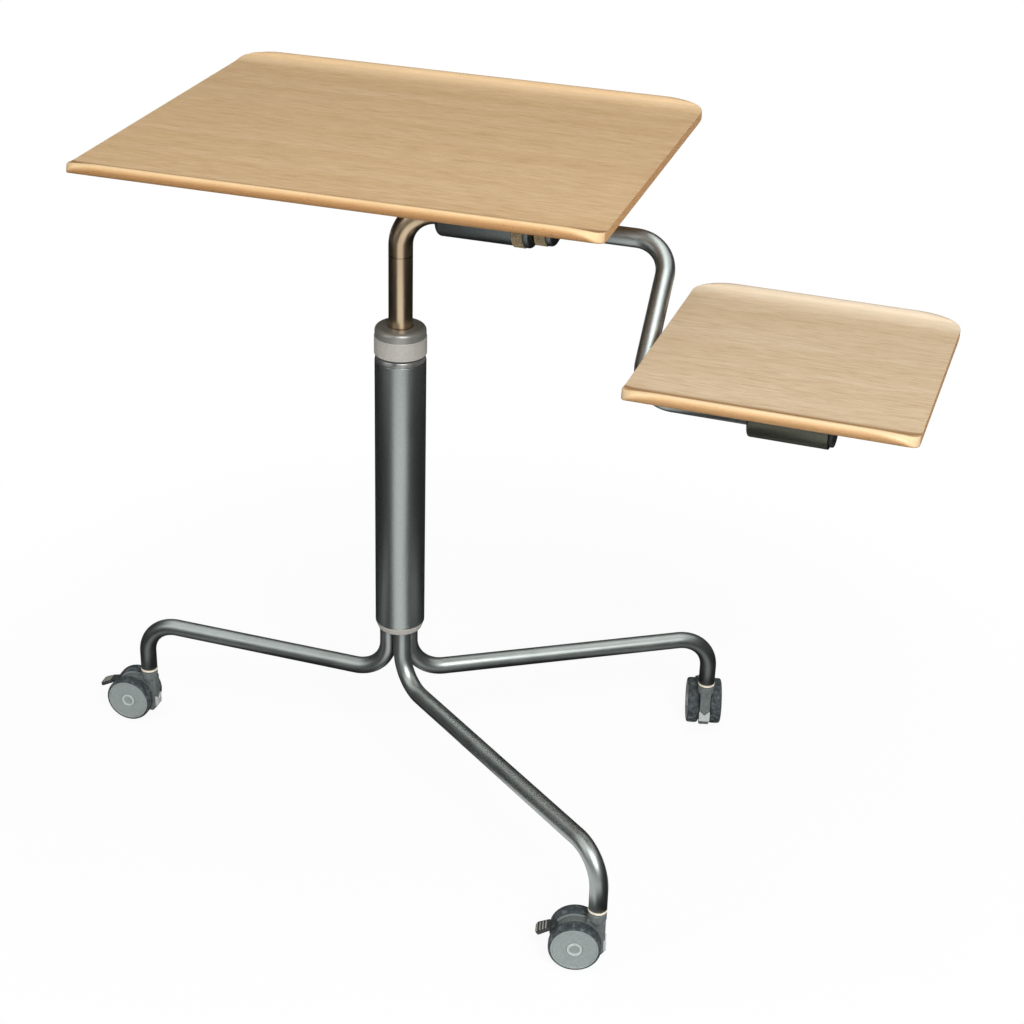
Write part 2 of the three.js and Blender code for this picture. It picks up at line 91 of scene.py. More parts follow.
def add_piece(name, points, faces, sharp):
    """A mesh object at the origin from points in metres, welded, closed and facing outwards.

    Edges that turn by more than the sharp angle, in degrees, stay sharp."""
    mesh = bpy.data.meshes.new(name)
    mesh.from_pydata(points.tolist(), [], faces)
    shape = bmesh.new()
    shape.from_mesh(mesh)
    bmesh.ops.remove_doubles(shape, verts=shape.verts, dist=2e-6)
    bmesh.ops.dissolve_degenerate(shape, edges=shape.edges, dist=1e-7)
    bmesh.ops.recalc_face_normals(shape, faces=shape.faces)
    shape.to_mesh(mesh)
    shape.free()
    mesh.shade_smooth()
    mesh.set_sharp_from_angle(angle=np.radians(sharp))
    piece = bpy.data.objects.new(name, mesh)
    scene.collection.objects.link(piece)
    return piece


def stacked(*grids):
    """Several grids, each as points and faces, put together as one mesh's points and faces."""
    starts = np.cumsum([0] + [len(points) for points, _ in grids[:-1]])
    points = np.vstack([points for points, _ in grids])
    faces = np.vstack([np.array(faces) + start for (_, faces), start in zip(grids, starts)])
    return points, faces.tolist()


def moved(grid, way):
    """A grid's points and faces after a move."""
    return grid[0] + np.array(way), grid[1]


# %% [markdown]
# Turned pieces, such as the column, the collar, the nuts and the wheels, are a profile carried
# round an axis. Machined edges are never quite sharp, so each corner of the profile is replaced
# by a small arc: that arc is what catches the light.


# %% Profiles with rounded corners
def rounded(corners, radii, steps=5, closed=False):
    """A line through the corners, each replaced by an arc of its radius tangent to both sides.

    The arc leaves the incoming side at radius times the tangent of half the turn before the
    corner, and is drawn as a weighted curve through the two leaving points and the corner."""
    corners = np.asarray(corners, float)
    radii = np.broadcast_to(np.asarray(radii, float), len(corners))
    sides = [np.roll(corners, step, axis=0) - corners for step in (1, -1)]
    reaches = [np.linalg.norm(side, axis=1) for side in sides]
    before, after = [side / np.maximum(reach, 1e-9)[:, None] for side, reach in zip(sides, reaches)]
    half = np.arccos(np.clip((before * after).sum(axis=1), -1, 1)) / 2
    trim = np.minimum(radii / np.tan(np.maximum(half, 1e-3)), 0.48 * np.minimum(*reaches))
    if not closed:
        trim[[0, -1]] = 0.0
    t = np.linspace(0, 1, steps)[None, :, None]
    weight = np.sin(half)[:, None, None]
    start = (corners + before * trim[:, None])[:, None]
    end = (corners + after * trim[:, None])[:, None]
    middle = corners[:, None]
    top = (1 - t) ** 2 * start + 2 * t * (1 - t) * weight * middle + t**2 * end
    bottom = (1 - t) ** 2 + 2 * t * (1 - t) * weight + t**2
    return (top / bottom).reshape(-1, corners.shape[1])


# %% Turning a profile round an axis
# The three axes of the drawing.
RIGHT, BACK, UP = (1.0, 0.0, 0.0), (0.0, 1.0, 0.0), (0.0, 0.0, 1.0)
ORIGIN = (0.0, 0.0, 0.0)


def unit(vector):
    """The vector of length 1 in the same direction."""
    return np.asarray(vector, float) / np.linalg.norm(vector)


def across(axis):
    """Two unit vectors square to an axis and to each other."""
    axis = unit(axis)
    first = unit(np.cross(UP if abs(axis[2]) < 0.9 else RIGHT, axis))
    return first, np.cross(axis, first)


def turned(profile, origin, axis, sides=72, ring=True):
    """Points and faces of a profile of (radius, distance along the axis) turned round it.

    Point (i, j) is origin + distance_i * axis + radius_i * (cos angle_j, sin angle_j)."""
    profile = np.asarray(profile, float)
    axis = unit(axis)
    first, second = across(axis)
    angle = np.linspace(0, 2 * np.pi, sides, endpoint=False)
    spokes = np.cos(angle)[:, None] * first + np.sin(angle)[:, None] * second
    spine = np.asarray(origin, float) + profile[:, 1:2] * axis
    points = spine[:, None] + profile[:, 0][:, None, None] * spokes[None]
    return points.reshape(-1, 3), grid_faces(len(profile), sides, ring, True)


# %% [markdown]
# ## Finishes
# The table has satin grey tubes, a warmer nickel mast, a bead-blasted collar, knurled nuts,
# grey plastic casters with dusty treads, and trays of pale bent wood. None is one flat colour:
# each finish is a noise between two close tones, stretched the way the piece was brushed or
# grown, and the same noise moves the roughness a little.


# %% A finish between two tones
def linear(red, green, blue):
    """Screen colour from 0 to 255 to the linear value a shader takes."""
    value = np.array([red, green, blue]) / 255.0
    curve = np.where(value <= 0.04045, value / 12.92, ((value + 0.055) / 1.055) ** 2.4)
    return (*curve.tolist(), 1.0)


def feed(tree, node, values):
    """Sets each named input of a node to a value, or links it from the output of another."""
    for name, value in values.items():
        if isinstance(value, bpy.types.NodeSocket):
            tree.links.new(value, node.inputs[name])
        else:
            node.inputs[name].default_value = value
    return node


def node_of(tree, kind, values=None):
    """A new shader node of a kind with its inputs fed."""
    return feed(tree, tree.nodes.new("ShaderNode" + kind), values or {})


def math_of(tree, operation, *values):
    """The result of a calculation on values or outputs of other nodes."""
    node = node_of(tree, "Math", dict(enumerate(values)))
    node.operation = operation
    return node.outputs["Value"]


def blank_finish(name, metallic, specular=0.5):
    """A new node material with its shader, node tree and a place to read object coordinates."""
    material = bpy.data.materials.new(name)
    material.use_nodes = True
    tree = material.node_tree
    values = {"Metallic": metallic, "Specular IOR Level": specular}
    shader = feed(tree, tree.nodes["Principled BSDF"], values)
    place = node_of(tree, "TexCoord").outputs["Object"]
    return material, tree, shader, place


def noise_of(tree, place, scale, stretch=(1, 1, 1), detail=4.0, rough=0.55):
    """Noise on coordinates stretched by three factors."""
    mapping = node_of(tree, "Mapping", {"Vector": place, "Scale": stretch})
    noise = node_of(tree, "TexNoise", {
        "Vector": mapping.outputs["Vector"], "Scale": scale, "Detail": detail, "Roughness": rough})
    return noise.outputs["Fac"]


def ramp_of(tree, factor, stops):
    """Colours at places from 0 to 1 along a factor."""
    ramp = node_of(tree, "ValToRGB")
    while len(ramp.color_ramp.elements) < len(stops):
        ramp.color_ramp.elements.new(0.5)
    for element, (place, colour) in zip(ramp.color_ramp.elements, stops):
        element.position, element.color = place, colour
    feed(tree, ramp, {"Fac": factor})
    return ramp.outputs["Color"]


# A noise seldom leaves this range.
NOISE_LOW, NOISE_HIGH = 0.3, 0.7


def tones_of(tree, noise, dark, light):
    """The colour that wanders with a noise between two linear tones."""
    return ramp_of(tree, noise, [(NOISE_LOW, dark), (NOISE_HIGH, light)])


def spread_of(tree, factor, lowest, highest):
    """The usual range of a noise spread over a range of values."""
    spread = node_of(tree, "MapRange", {
        "Value": factor, "From Min": NOISE_LOW, "From Max": NOISE_HIGH, "To Min": lowest, "To Max": highest})
    return spread.outputs["Result"]


def bump_of(tree, factor, depth):
    """A bump from a factor, its depth in metres."""
    bump = node_of(tree, "Bump", {"Height": factor, "Strength": 0.3, "Distance": depth})
    return bump.outputs["Normal"]


def toned(name, dark, light, metallic, rough, scale, bump=0.0, stretch=(1, 1, 1)):
    """A finish whose colour and roughness wander between two tones with one noise."""
    material, tree, shader, place = blank_finish(name, metallic)
    wander = noise_of(tree, place, scale, stretch)
    feed(tree, shader, {"Base Color": tones_of(tree, wander, linear(*dark), linear(*light)),
                        "Roughness": spread_of(tree, wander, *rough)})
    if bump:
        fine = noise_of(tree, place, scale * 3, stretch, 2.0)
        feed(tree, shader, {"Normal": bump_of(tree, fine, bump)})
    return material


# %% Metal and plastic finishes
# Each finish: name, two tones, how metallic, roughness, scale of the noise, bump, stretch.
tones = {
    "charcoal_tube": ("satin charcoal tube", (174, 181, 178), (186, 193, 190), 1.0, (0.35, 0.40), 500),
    # The legs take a copy of the charcoal tube, a little rougher and a little darker: the darker tones are
    # painted shade.
    "shaded_leg_tube": ("satin leg tube", (166, 173, 170), (178, 185, 182), 1.0, (0.38, 0.43), 40),
    "mast_nickel": ("warm brushed nickel", (204, 180, 148), (226, 203, 170), 1.0, (0.27, 0.33), 120,
                    1e-5, (1, 1, 0.05)),
    "blasted_collar": ("bead-blasted aluminium", (154, 151, 145), (196, 192, 185), 0.15, (0.5, 0.62),
                       1100, 1.2e-4),
    "collar_shoulder": ("turned shoulder", (146, 147, 142), (164, 164, 158), 0.6, (0.36, 0.44), 300,
                        0.0, (1, 1, 6)),
    "dark_sleeve": ("dark satin sleeve", (108, 115, 114), (122, 128, 127), 0.95, (0.34, 0.42), 500, 1e-5),
    "pale_sleeve": ("pale satin sleeve", (104, 106, 93), (118, 119, 105), 0.9, (0.38, 0.46), 500, 1e-5),
    "knurled_brass": ("knurled dull brass", (150, 133, 102), (190, 172, 138), 0.35, (0.4, 0.5), 300),
    "bright_steel": ("turned steel", (168, 171, 169), (190, 192, 190), 0.9, (0.28, 0.4), 200, 0.0,
                     (1, 1, 4)),
    "ivory_ring": ("ivory nylon", (226, 216, 198), (240, 231, 214), 0.0, (0.42, 0.55), 250),
    "black_plastic": ("black moulded plastic", (40, 44, 45), (56, 60, 60), 0.0, (0.5, 0.65), 500, 4e-5),
    "caster_grey": ("grey moulded plastic", (134, 143, 142), (150, 158, 156), 0.0, (0.42, 0.55), 420, 3e-5),
    "caster_body": ("darker moulded plastic", (92, 99, 98), (112, 119, 117), 0.0, (0.40, 0.52), 300, 4e-5),
    # Pale plastic: the notched box has it, and on a disc's raised ring it is a painted highlight.
    "caster_pale_and_highlight": ("pale plastic and painted highlight", (176, 182, 180), (194, 199, 196), 0.0, (0.38, 0.5), 420),
    "pedal_rib": ("worn pedal ribs", (138, 138, 130), (172, 170, 160), 0.0, (0.5, 0.6), 400),
}
finishes = {slot: toned(*values) for slot, values in tones.items()}
print("finishes:", ", ".join(finishes))

# %% [markdown]
# The treads have rolled over many floors: the rubber is dark, with paler dust caught in
# patches. A coarse noise decides where the dust lies, and how rough and uneven the rubber is.

# %% Dusty tread
tread, tree, shader, place = blank_finish("dusty rubber tread", 0.0, 0.3)
patches = noise_of(tree, place, 190, detail=5.0, rough=0.7)
dust = ramp_of(tree, patches, [(0.36, linear(44, 50, 52)), (0.52, linear(66, 73, 75)),
                               (0.7, linear(112, 118, 118))])
feed(tree, shader, {"Base Color": dust, "Roughness": spread_of(tree, patches, 0.6, 0.85),
                    "Normal": bump_of(tree, patches, 3e-4)})
finishes["caster_tyre"] = tread
print("tread:", tread.name)

# %% [markdown]
# The trays are laminated wood with a fine straight grain along their length: noise squeezed hard
# across the board, over broad, faint bands. The bent edges are warmer than the flat, and light and
# shade are painted on them, so the mesh carries an attribute, tone, and the finish runs with it from
# the back edge, painted pale as if lit, over the flat, the crease painted dark as shade and the crest
# painted pale as a highlight, to the golden outside, darkened with painted shade towards the bottom,
# and the underside, painted brown as shade. The grain is faint on the bent edges, and dark pores
# show where it is golden.


# %% Mixing two colours
def mixed(tree, blend, factor, first, second):
    """A colour mix; each input is a value or the output of another node."""
    mix = node_of(tree, "Mix")
    mix.data_type, mix.blend_type = "RGBA", blend
    spot = {socket.identifier: index for index, socket in enumerate(mix.inputs)}
    feed(tree, mix, {spot["Factor_Float"]: factor, spot["A_Color"]: first, spot["B_Color"]: second})
    return next(socket for socket in mix.outputs if socket.identifier == "Result_Color")


# %% Wood
# Where each tone of the wood lies on the attribute. Besides the flat they hold painted light and shade:
# the back edge painted pale as if lit, the crease with painted shade, the crest with a painted highlight,
# the golden outside darkened with painted shade, and the underside with painted shade.
PALE_LIT, FLAT, CREASE_SHADE, CREST_HIGHLIGHT, GOLDEN_SHADED, UNDERSIDE_SHADE = 0.0, 0.15, 0.3, 0.45, 0.65, 0.9


def wood_finish(name, tones):
    """Straight-grained wood whose tone runs through the six given colours with the attribute; four of them
    are painted light or shade, and the golden one is partly painted shade.
    """
    material, tree, shader, place = blank_finish(name, 0.0, 0.4)
    grain = noise_of(tree, place, 1.0, (38, 1000, 1000), 4.0, 0.72)
    bands = noise_of(tree, place, 1.0, (2.2, 46, 46), 3.0, 0.5)
    pores = noise_of(tree, place, 1.0, (330, 900, 900), 1.0, 0.4)
    attribute = node_of(tree, "Attribute")
    attribute.attribute_name = "tone"
    tone = attribute.outputs["Fac"]
    black, faint, white = [(value, value, value, 1) for value in (0, 0.35, 1)]
    streaks = ramp_of(tree, grain, [(0.34, linear(222, 211, 194)), (0.56, linear(255, 254, 252))])
    broad = ramp_of(tree, bands, [(0.35, linear(247, 243, 236)), (0.65, linear(255, 255, 255))])
    specks = ramp_of(tree, pores, [(0.72, linear(255, 255, 255)), (0.77, linear(176, 140, 104))])
    golden = ramp_of(tree, tone, [(CREST_HIGHLIGHT + 0.05, black), (GOLDEN_SHADED, white)])
    grained = ramp_of(tree, tone, [(FLAT - 0.1, faint), (FLAT - 0.01, white),
                                   (FLAT + 0.01, white), (FLAT + 0.1, faint)])
    places = (PALE_LIT, FLAT, CREASE_SHADE, CREST_HIGHLIGHT, GOLDEN_SHADED, UNDERSIDE_SHADE)
    colour = ramp_of(tree, tone, [(stop, linear(*shade)) for stop, shade in zip(places, tones)])
    colour = mixed(tree, "MULTIPLY", grained, colour, streaks)
    colour = mixed(tree, "MULTIPLY", 1.0, colour, broad)
    colour = mixed(tree, "MULTIPLY", golden, colour, specks)
    feed(tree, shader, {"Base Color": colour, "Roughness": spread_of(tree, grain, 0.36, 0.48),
                        "Normal": bump_of(tree, grain, 4e-5)})
    return material


# The six colours follow the tone places, for both trays: the back edge painted pale as if lit, the flat, the
# crease painted dark as shade, the crest painted pale as a highlight, the golden outside darkened with
# painted shade, and the underside painted brown as shade.
finishes["tray_wood"] = wood_finish("pale lacquered wood", [
    (217, 187, 146), (217, 188, 149), (156, 114, 70),
    (238, 207, 161), (184, 138, 88), (132, 94, 56)])
small_wood = wood_finish("paler lacquered wood", [
    (219, 203, 180), (216, 195, 166), (164, 126, 84),
    (239, 212, 172), (190, 148, 100), (140, 103, 66)])
sawn = toned("sawn wood edge", (196, 148, 98), (214, 170, 120), 0.0, (0.42, 0.52), 20, 5e-5,
             (0.4, 6, 60))
print("wood:", finishes["tray_wood"].name, "and", small_wood.name)

# %% [markdown]
# Every piece rides the body it moves with and names its slot in the record. Most take that slot's
# finish; one that looks a little different, such as the worn ribs of a pedal, names its own.


# %% Giving a piece its finish and its body
def finish(piece, slot, body, *nodes, look=None):
    """Gives a piece its finish and its body, and lets it stand for the solids it covers."""
    if not piece.data.materials:
        piece.data.materials.append(finishes[look or slot])
    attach(piece, body)
    if nodes:
        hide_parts(*nodes)


def turned_piece(name, slot, body, node, profile, origin, axis, sides, look=None):
    """A finished piece turned from a profile; one that starts off the axis is hollow."""
    points, faces = turned(profile, origin, axis, sides, profile[0][0] > 0)
    finish(add_piece(name, in_scene(points), faces, 50.0), slot, body, node, look=look)


# %% [markdown]
# ## Trays
# Each tray is one board of even thickness. Its front and back edges sweep up gently, then curl
# through almost a right angle, and the corners are cut back on the flat sheet before it is bent.
# A point is named by its way along the sheet and its depth below the top, and the bend carries it
# to its place. The sawn edge is rounded over, more so away from the corners.

# %% The sizes of a tray
BOARD = 9.3  # thickness
SWEEP_RADIUS = 65.0  # the gentle bend
SWEEP_TURN = np.radians(17.5)
CURL_RADIUS = 4.9  # the tight bend after it
LIP_LENGTH = 33.0  # length of the bent edge on the sheet
CORNER_LENGTH = 49.0  # from the side to where it begins to shorten
CORNER_START = 26.0  # its length at the side, before the rounding
CORNER_ROUND = 14.0
CORNER_POWER = 2.5
EDGE_ROUND = 2.2  # of the sawn edge at the side, twice that away from the corners
LEVEL_POINTS, LIP_POINTS, EDGE_POINTS = 8, 26, 7  # on half the flat, a lip, a quarter circle


def lip_length(distance):
    """Length of the bent edge on the sheet at a distance from the side: a power curve, rounded."""
    far = np.clip(1 - distance / CORNER_LENGTH, 0, None)
    near = np.clip(1 - distance / CORNER_ROUND, 0, 1)
    rounding = CORNER_ROUND * (1 - np.sqrt(1 - near**2))
    return LIP_LENGTH - (LIP_LENGTH - CORNER_START) * far**CORNER_POWER - rounding


def bent_edge(along, depth):
    """How far out and up the bend carries a point of the sheet.

    The turn grows by the way along over the middle radius, first of the sweep, then of the
    curl. About the centre of its arc the point is at radius + depth, so
    out = centre + r * sin(turn) and up = centre - r * cos(turn)."""
    sweep = (SWEEP_RADIUS + BOARD / 2) * SWEEP_TURN
    curled = np.clip(along - sweep, 0, None) / (CURL_RADIUS + BOARD / 2)
    turn = np.minimum(along, sweep) / (SWEEP_RADIUS + BOARD / 2) + curled
    inner = np.where(curled > 0, SWEEP_RADIUS - CURL_RADIUS, 0.0)
    radius = SWEEP_RADIUS - inner + depth
    out = inner * np.sin(SWEEP_TURN) + radius * np.sin(turn)
    up = SWEEP_RADIUS - inner * np.cos(SWEEP_TURN) - radius * np.cos(turn)
    return out, up


# %% The section of a board
def half_section(flat, distance):
    """One half of the section at every distance from the side: rows of y and z.

    It runs from the middle of the top along the flat and the bent edge, over the rounded
    edge, and back along the underside."""
    length = lip_length(distance)[:, None]
    soft = EDGE_ROUND + EDGE_ROUND * np.clip(distance / CORNER_LENGTH, 0, 1)[:, None] ** 0.7
    level = np.linspace(0, 1, LEVEL_POINTS + 1)[None, :-1] * flat / 2
    level = np.repeat(level, len(distance), axis=0)
    lip = np.linspace(0, 1, LIP_POINTS)[None]
    quarter = np.linspace(0, np.pi / 2, EDGE_POINTS + 1)[None, 1:]
    back = quarter - quarter[0, 0]
    straight = length - soft
    along = np.hstack([straight * lip, straight + soft * np.sin(quarter),
                       straight + soft * np.cos(back), straight * lip[:, ::-1]])
    depth = np.hstack([0 * length * lip, soft - soft * np.cos(quarter),
                       BOARD - soft + soft * np.sin(back), BOARD + 0 * length * lip])
    out, up = bent_edge(along, depth)
    y = np.hstack([level, flat / 2 + out, level[:, ::-1]])
    z = np.hstack([0 * level, up, 0 * level - BOARD])
    return y, z


def half_tone(front):
    """The tone along one half section, with painted light and shade: the front edge darkens with painted
    shade to a crease under a crest with a painted highlight, the back edge is painted pale as if lit, and
    the outside darkens with painted shade to the underside.

    Its points are those of half_section: level, lip, two quarter circles, lip, level."""
    lip = np.linspace(0, 1, LIP_POINTS)
    # worn counts the points of the rounded edge that take painted light: the painted highlight of the front
    # crest, the painted pale of the lit back edge.
    worn = 9 if front else 8
    rest = 2 * EDGE_POINTS - worn
    if front:
        # The front lip's inside darkens with painted shade to a crease, then rises to the crest's painted
        # highlight; the outside darkens with painted shade.
        inside = np.interp(lip, [0.12, 0.36, 0.46, 1.0], [FLAT, CREASE_SHADE, CREASE_SHADE, CREST_HIGHLIGHT - 0.02])
        edge = np.concatenate([np.full(worn, CREST_HIGHLIGHT), np.linspace(CREST_HIGHLIGHT + 0.05, GOLDEN_SHADED, rest)])
    else:
        # The back lip's inside pales as if lit, painted light, and its outside darkens with painted shade.
        inside = FLAT * (1 - np.clip(lip / 0.9, 0, 1))
        edge = np.concatenate([np.full(worn, PALE_LIT), np.linspace(GOLDEN_SHADED + 0.05, UNDERSIDE_SHADE, rest)])
    return np.concatenate([np.full(LEVEL_POINTS, FLAT), inside, edge,
                           GOLDEN_SHADED + (UNDERSIDE_SHADE - GOLDEN_SHADED) * lip, np.full(LEVEL_POINTS, UNDERSIDE_SHADE)])


# %% The board
def tray_board(name, width, flat, place, material):
    """The section carried along x and closed at both sides by its own outline."""
    half = width / 2
    corner = CORNER_LENGTH * np.linspace(0, 1, 25) ** 1.8
    between = np.linspace(CORNER_LENGTH - half, half - CORNER_LENGTH, 16)[1:-1]
    xs = np.concatenate([corner - half, between, half - corner[::-1]])
    y, z = half_section(flat, half - np.abs(xs))
    loop_y = np.hstack([y, -y[:, -2:0:-1]])
    loop_z = np.hstack([z, z[:, -2:0:-1]])
    loop_tone = np.concatenate([half_tone(False), half_tone(True)[-2:0:-1]])
    points = np.stack(np.broadcast_arrays(xs[:, None], loop_y, loop_z), axis=-1)
    rows, columns = loop_y.shape
    sides = [list(range(columns)), list(range((rows - 1) * columns, rows * columns))[::-1]]
    faces = grid_faces(rows, columns, False, True) + sides
    piece = add_piece(name, place(points.reshape(-1, 3)), faces, 40.0)
    mesh = piece.data
    tone = mesh.attributes.new("tone", "FLOAT", "POINT")
    tone.data.foreach_set("value", np.tile(loop_tone, rows))
    mesh.materials.append(material)
    mesh.materials.append(sawn)
    mesh.polygons.foreach_set("material_index", [0] * (len(faces) - 2) + [1, 1])
    soften = piece.modifiers.new("soft sides", "BEVEL")
    soften.width, soften.segments = 0.0012, 3
    soften.limit_method, soften.angle_limit = "ANGLE", np.radians(60)
    print(name, len(mesh.polygons), "faces")
    return piece


# %% The main tray
AXIS = 680.6  # height of the level axis on which the tray tilts
MAIN_TOP = np.array([0.0, 0.0, AXIS + 63.3 + BOARD])


def on_main_tray(points):
    """Tray coordinates to the scene: the middle of the top face is straight above the axis."""
    return in_scene(points + MAIN_TOP)


main_tray = tray_board("main_tray_board", 518.0, 364.0, on_main_tray, finishes["tray_wood"])
finish(main_tray, "tray_wood", "tray", "main_tray")

# %% [markdown]
# The small tray sits on the level end of the cranked arm and is turned by about a degree and
# a half in plan, as the photograph shows. Two turned axes put its points in place.

# %% The small tray
PLAN_TURN = np.radians(-1.46)
ARM_CORNER = 278.1  # where the arm leaves the main axis
SMALL_AXIS = np.array([ARM_CORNER, -111.2, AXIS - 115.0])
SMALL_WAY = np.array([np.cos(PLAN_TURN), np.sin(PLAN_TURN), 0.0])
SMALL_BACK = np.array([-np.sin(PLAN_TURN), np.cos(PLAN_TURN), 0.0])
SMALL_REACH = 147.7  # from the arm's last corner to the middle of the tray
SMALL_TOP = SMALL_AXIS + SMALL_REACH * SMALL_WAY + np.array([0, 0, 54.4 + BOARD])


def on_small_tray(points):
    """Tray coordinates to the scene: x along the arm's end, y across it, z above the top face."""
    return in_scene(SMALL_TOP + points[:, :1] * SMALL_WAY + points[:, 1:2] * SMALL_BACK
                    + points[:, 2:] * np.array(UP))


small_tray = tray_board("side_tray_board", 261.2, 224.6, on_small_tray, small_wood)
finish(small_tray, "tray_wood", "side_tray", "small_tray")

# %% [markdown]
# ## Bent tubes
# Legs, mast and arm are straight tubes bent on a former: straight lines joined by arcs. The
# ring of the tube is carried along that path. Going out with the outer radius and coming
# back with the inner one closes the tube at both ends with its real wall.


# %% A path of straights and bends
def bent_path(corners, radius, steps=20):
    """Points and directions along straight lines that meet in arcs of one radius.

    At a corner the path leaves the line at radius * tan(half the turn); on the arc the point is
    start + radius * (sin turn * before + (1 - cos turn) * side)."""
    corners = [np.asarray(corner, float) for corner in corners]
    ways = [unit(b - a) for a, b in zip(corners[:-1], corners[1:])]
    points, tangents = [corners[0][None]], [ways[0][None]]
    for corner, before, after in zip(corners[1:-1], ways[:-1], ways[1:]):
        angle = np.arccos(np.clip(before @ after, -1, 1))
        side = unit(after - before * np.cos(angle))
        turn = np.linspace(0, angle, steps)[:, None]
        start = corner - before * radius * np.tan(angle / 2)
        points.append(start + radius * (np.sin(turn) * before + (1 - np.cos(turn)) * side))
        tangents.append(np.cos(turn) * before + np.sin(turn) * side)
    points.append(corners[-1][None])
    tangents.append(ways[-1][None])
    return np.vstack(points), np.vstack(tangents)


def bent_tube(name, corners, radius, wall, bend, sides=40, soft=0.7):
    """A hollow tube: a ring carried out along the path and back along its bore.

    The ring's first spoke is handed from station to station and kept square to the path. The
    outer rims have a soft chamfer."""
    points, tangents = bent_path(corners, bend)
    spoke = across(tangents[0])[0]
    spokes = []
    for tangent in tangents:
        spoke = unit(spoke - tangent * (spoke @ tangent))
        spokes.append(spoke)
    first = np.array(spokes)
    second = np.cross(tangents, first)
    angle = np.linspace(0, 2 * np.pi, sides, endpoint=False)
    cosine, sine = np.cos(angle)[None, :, None], np.sin(angle)[None, :, None]
    ring = cosine * first[:, None] + sine * second[:, None]
    outer = points[:, None] + radius * ring
    inner = (points[:, None] + (radius - wall) * ring)[::-1]
    head = points[:1, None] + (radius - soft) * ring[:1]
    tail = points[-1:, None] + (radius - soft) * ring[-1:]
    outer[0] += soft * tangents[0]
    outer[-1] -= soft * tangents[-1]
    grid = np.concatenate([head, outer, tail, inner])
    faces = grid_faces(len(grid), sides, True, True)
    return add_piece(name, in_scene(grid.reshape(-1, 3)), faces, 50.0)


# %% The three legs
LEG_CLUSTER = 13.5  # how far from the column's axis the legs enter its foot
LEG_HEIGHT = 129.0
LEG_TOP = 230.0
RING_BOTTOM = 62.3
RING_TOP = RING_BOTTOM + 3.6
# Each leg: angle where it enters the foot, angle of its level run, length of that run.
legs = {"left": (180.0, 179.0, 303.6), "right": (60.0, 31.0, 359.3), "front": (-60.0, -38.8, 378.0)}
feet = {}
for side, (root, run, reach) in legs.items():
    root, run = np.radians([root, run])
    start = LEG_CLUSTER * np.array([np.cos(root), np.sin(root)])
    end = start + reach * np.array([np.cos(run), np.sin(run)])
    feet[side] = end
    corners = [(*start, LEG_TOP), (*start, LEG_HEIGHT), (*end, LEG_HEIGHT), (*end, RING_TOP + 0.3)]
    leg = bent_tube(f"shaded_leg_tube_{side}", corners, radius=9.5, wall=2.0, bend=40.0)
    # The legs keep the charcoal tube's slot but take its darker copy, painted shade.
    finish(leg, "charcoal_tube", "base", f"leg_{side}", look="shaded_leg_tube")
print("feet at", {side: np.round(end).tolist() for side, end in feet.items()})

# %% [markdown]
# The mast carries a faint ring below its bend. It has no depth, so it is a mark in the finish: a
# node compares the height of a point with that of the ring.

# %% A ring mark on the mast
MARK_HEIGHT, MARK_HALF = 0.6298, 0.0007
tree = finishes["mast_nickel"].node_tree
shader = tree.nodes["Principled BSDF"]
nickel = shader.inputs["Base Color"].links[0].from_socket
place = next(node for node in tree.nodes if node.type == "TEX_COORD").outputs["Object"]
split = node_of(tree, "SeparateXYZ", {"Vector": place})
mark = math_of(tree, "COMPARE", split.outputs["Z"], MARK_HEIGHT, MARK_HALF)
feed(tree, shader, {"Base Color": mixed(tree, "MULTIPLY", mark, nickel, linear(206, 202, 196))})
print("ring mark at height", MARK_HEIGHT)

# %% The mast and the cranked arm
SMALL_SLEEVE = 76.5  # length of the sleeve at the arm's end
mast = bent_tube("mast_tube", [(0, 0, 320.0), (0, 0, AXIS), (155.9, 0, AXIS)],
                 radius=12.5, wall=1.5, bend=40.5, sides=56)
finish(mast, "mast_nickel", "mast", "upright_tube")
arm_end = SMALL_AXIS + (SMALL_REACH + SMALL_SLEEVE / 2 - 3.0) * SMALL_WAY
arm = bent_tube("cranked_arm", [(76.5, 0, AXIS), (ARM_CORNER, 0, AXIS), SMALL_AXIS, arm_end],
                radius=9.5, wall=2.0, bend=35.0)
finish(arm, "charcoal_tube", "arm", "arm_tube")
print("mast", len(mast.data.polygons), "faces, arm", len(arm.data.polygons))

# %% [markdown]
# ## Column and collar
# The column is a plain thick tube. Its foot narrows in a chamfer that shows as a pale band, and
# a turned ring closes its head. Above a dark slit sits the collar that clamps the mast: a
# short cylinder with a broad rounded shoulder.

# %% Turned pieces of the column
# Each piece: name, slot, body, node, profile of (radius, height).
turned_pieces = [
    ("column_barrel", "charcoal_tube", "base", "column_tube",
     rounded([(25.0, 202.0), (27.0, 202.0), (27.0, 515.0), (25.0, 515.0)], 0.5, closed=True)),
    ("column_foot_ring", "pale_sleeve", "base", "column_foot",
     rounded([(0.0, 193.7), (24.0, 193.7), (27.0, 201.7), (24.7, 201.7), (24.7, 231.0), (0.0, 231.0)],
             [0, 0.9, 0.5, 0, 0.5, 0])),
    ("column_head_ring", "bright_steel", "base", "column_bush",
     rounded([(12.9, 475.0), (24.7, 475.0), (24.7, 515.3), (27.0, 515.3), (25.7, 520.3), (21.0, 520.5),
              (21.0, 522.3), (12.9, 522.3)], [0, 0, 0, 0.7, 0.7, 0, 0, 0], closed=True)),
    ("clamp_collar_ring", "blasted_collar", "collar", "clamp_collar",
     rounded([(19.8, 522.8), (27.5, 522.8), (27.5, 541.6), (26.9, 542.4), (26.9, 552.8), (12.95, 552.8),
              (12.95, 545.8), (19.8, 545.8)], [0, 0.7, 0.4, 0.3, 7.2, 0.8, 0, 0], 9, closed=True)),
]
looks = {"column_foot_ring": "blasted_collar"}
